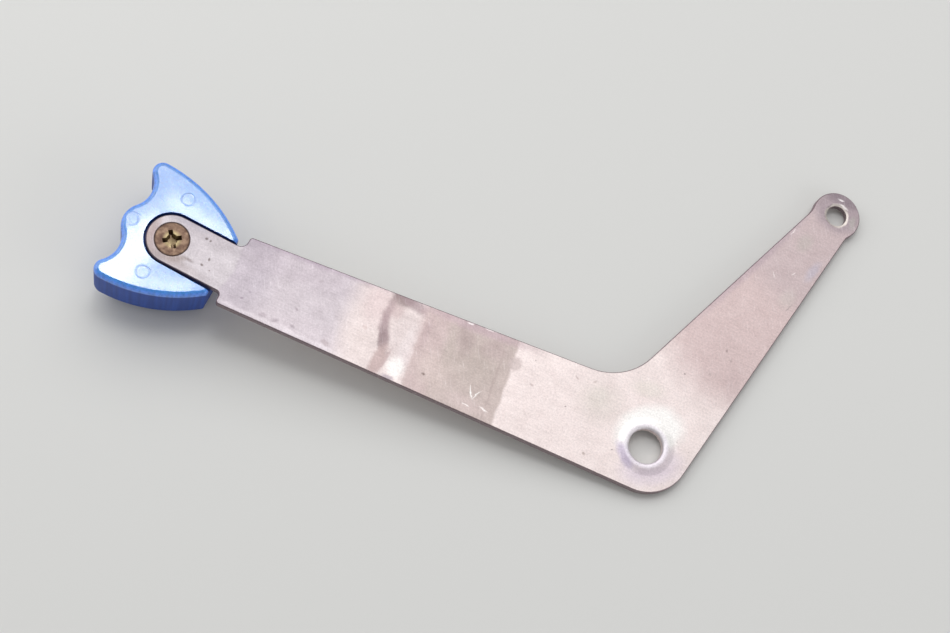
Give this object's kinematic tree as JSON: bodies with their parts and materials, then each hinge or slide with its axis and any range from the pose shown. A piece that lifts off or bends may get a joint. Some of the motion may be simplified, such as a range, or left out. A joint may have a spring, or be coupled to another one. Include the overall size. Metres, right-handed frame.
{
  "type": "propeller control lever",
  "caption": "Flat bell-crank lever plate with a flared pivot bore, a cable eye on the short arm and a scalloped moulded half knob screwed on the tab of the long arm.",
  "frame": {"origin": "axis of the pivot bore, on the plane of the plate's facing side", "axes": "+Z out of the facing side along the pivot bore, -X along the long arm towards the knob, +Y on the side of the short arm with the cable eye"},
  "size_m": [0.156, 0.0937, 0.0143],
  "materials": {
    "plate_metal": "satin, worn and stained",
    "knob_plastic": "glossy moulded",
    "screw_metal": "dull bronze brown",
    "insert_brass": "turned"
  },
  "bodies": {
    "root": {"lever_plate": "plate_metal", "knob": "knob_plastic", "knob_screw": "screw_metal", "threaded_insert": "insert_brass"}
  },
  "joints": []
}
